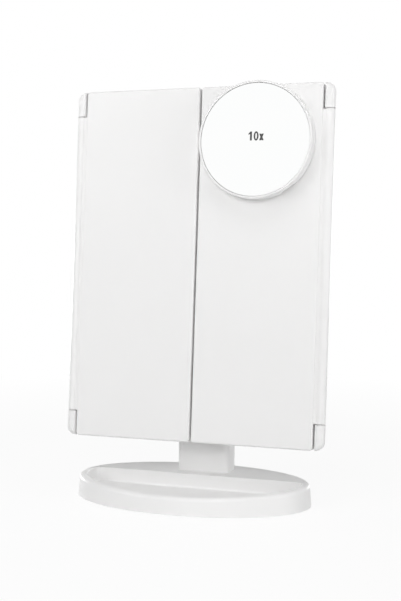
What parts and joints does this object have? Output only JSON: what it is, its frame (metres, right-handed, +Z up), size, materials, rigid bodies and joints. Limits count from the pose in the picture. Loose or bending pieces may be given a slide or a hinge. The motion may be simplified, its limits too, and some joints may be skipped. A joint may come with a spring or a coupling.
{
  "type": "lighted trifold makeup mirror",
  "caption": "Table-top makeup mirror that folds shut on side hinges, with hidden lights, a tilting stand on an oval tray base and a round magnifying spot mirror stuck on one wing.",
  "frame": {"origin": "on the floor under the middle of the oval base", "axes": "+Z up, +X to the right seen from the front, +Y from the front to the back"},
  "size_m": [0.18, 0.1, 0.2737],
  "materials": {
    "white_plastic": "satin",
    "white_inner": "matte",
    "bearing_plastic": "satin",
    "mirror_glass": "polished",
    "opal_plastic": "satin",
    "foam": "matte",
    "foot_rubber": "matte",
    "screw_steel": "satin",
    "plate_steel": "satin",
    "shaft_steel": "satin",
    "contact_steel": "satin",
    "magnet_steel": "polished",
    "light_board": "satin",
    "light_chip": "gloss",
    "circuit_board": "satin",
    "switch_plastic": "satin",
    "cell_sleeve": "satin",
    "lead_plastic": "satin"
  },
  "bodies": {
    "base": {"base_tray": "white_plastic", "base_plate": "white_inner", "base_feet": "foot_rubber", "base_screws": "screw_steel", "base_weight": "plate_steel", "neck": "white_plastic", "neck_cover": "white_plastic", "neck_clamp": "plate_steel", "neck_screws": "screw_steel", "tilt_bushes": "bearing_plastic"},
    "head": {"front_frame": "white_plastic", "carrier_plate": "white_inner", "carrier_screws": "screw_steel", "centre_mirror": "mirror_glass", "centre_mirror_pad": "foam", "light_diffuser": "opal_plastic", "led_board": "light_board", "led_chips": "light_chip", "control_board": "circuit_board", "tact_switch": "switch_plastic", "usb_socket": "contact_steel", "rear_cover": "white_plastic", "cover_screws": "screw_steel", "battery_cells": "cell_sleeve", "battery_contacts": "contact_steel", "battery_springs": "contact_steel", "tilt_bracket_left": "white_plastic", "tilt_bracket_right": "white_plastic", "bracket_screws": "screw_steel", "tilt_shaft": "shaft_steel", "shaft_caps": "white_plastic", "hinge_pins": "shaft_steel", "hinge_washers": "bearing_plastic", "battery_leads": "lead_plastic", "led_leads": "lead_plastic"},
    "power_button": {"power_button": "white_plastic"},
    "battery_door": {"battery_door": "white_plastic"},
    "left_wing": {"left_wing_cover": "white_plastic", "left_wing_bezel": "white_plastic", "left_wing_mirror": "mirror_glass", "left_wing_pad": "foam"},
    "right_wing": {"right_wing_cover": "white_plastic", "right_wing_bezel": "white_plastic", "right_wing_mirror": "mirror_glass", "right_wing_pad": "foam", "right_wing_keeper": "plate_steel"},
    "spot_mirror": {"spot_housing": "white_plastic", "spot_glass": "mirror_glass", "spot_pad": "foam", "spot_magnets": "magnet_steel", "spot_feet": "foot_rubber"}
  },
  "joints": [
    {"name": "tilt", "type": "hinge", "parent": "base", "child": "head", "pos_m": [0, 0.028, 0.058], "axis": [-1, 0, 0], "range_deg": [-10, 45]},
    {"name": "left_wing_hinge", "type": "hinge", "parent": "head", "child": "left_wing", "pos_m": [-0.0868, 0.00719, 0.15518], "axis": [0, -0.0872, -0.9962], "range_deg": [0, 180]},
    {"name": "right_wing_hinge", "type": "hinge", "parent": "head", "child": "right_wing", "pos_m": [0.0868, 0.00719, 0.15518], "axis": [0, 0.0872, 0.9962], "range_deg": [0, 180]},
    {"name": "spot_mirror_pull", "type": "slide", "parent": "right_wing", "child": "spot_mirror", "axis": [0, -0.9962, 0.0872], "range_m": [0, 0.06]},
    {"name": "battery_door_slide", "type": "slide", "parent": "head", "child": "battery_door", "axis": [0, 0.0872, 0.9962], "range_m": [0, 0.066]},
    {"name": "power_button_press", "type": "slide", "parent": "head", "child": "power_button", "axis": [0, 0.9962, -0.0872], "range_m": [0, 0.0006], "stiffness_N_per_m": 1500, "springref_m": -0.0003}
  ]
}
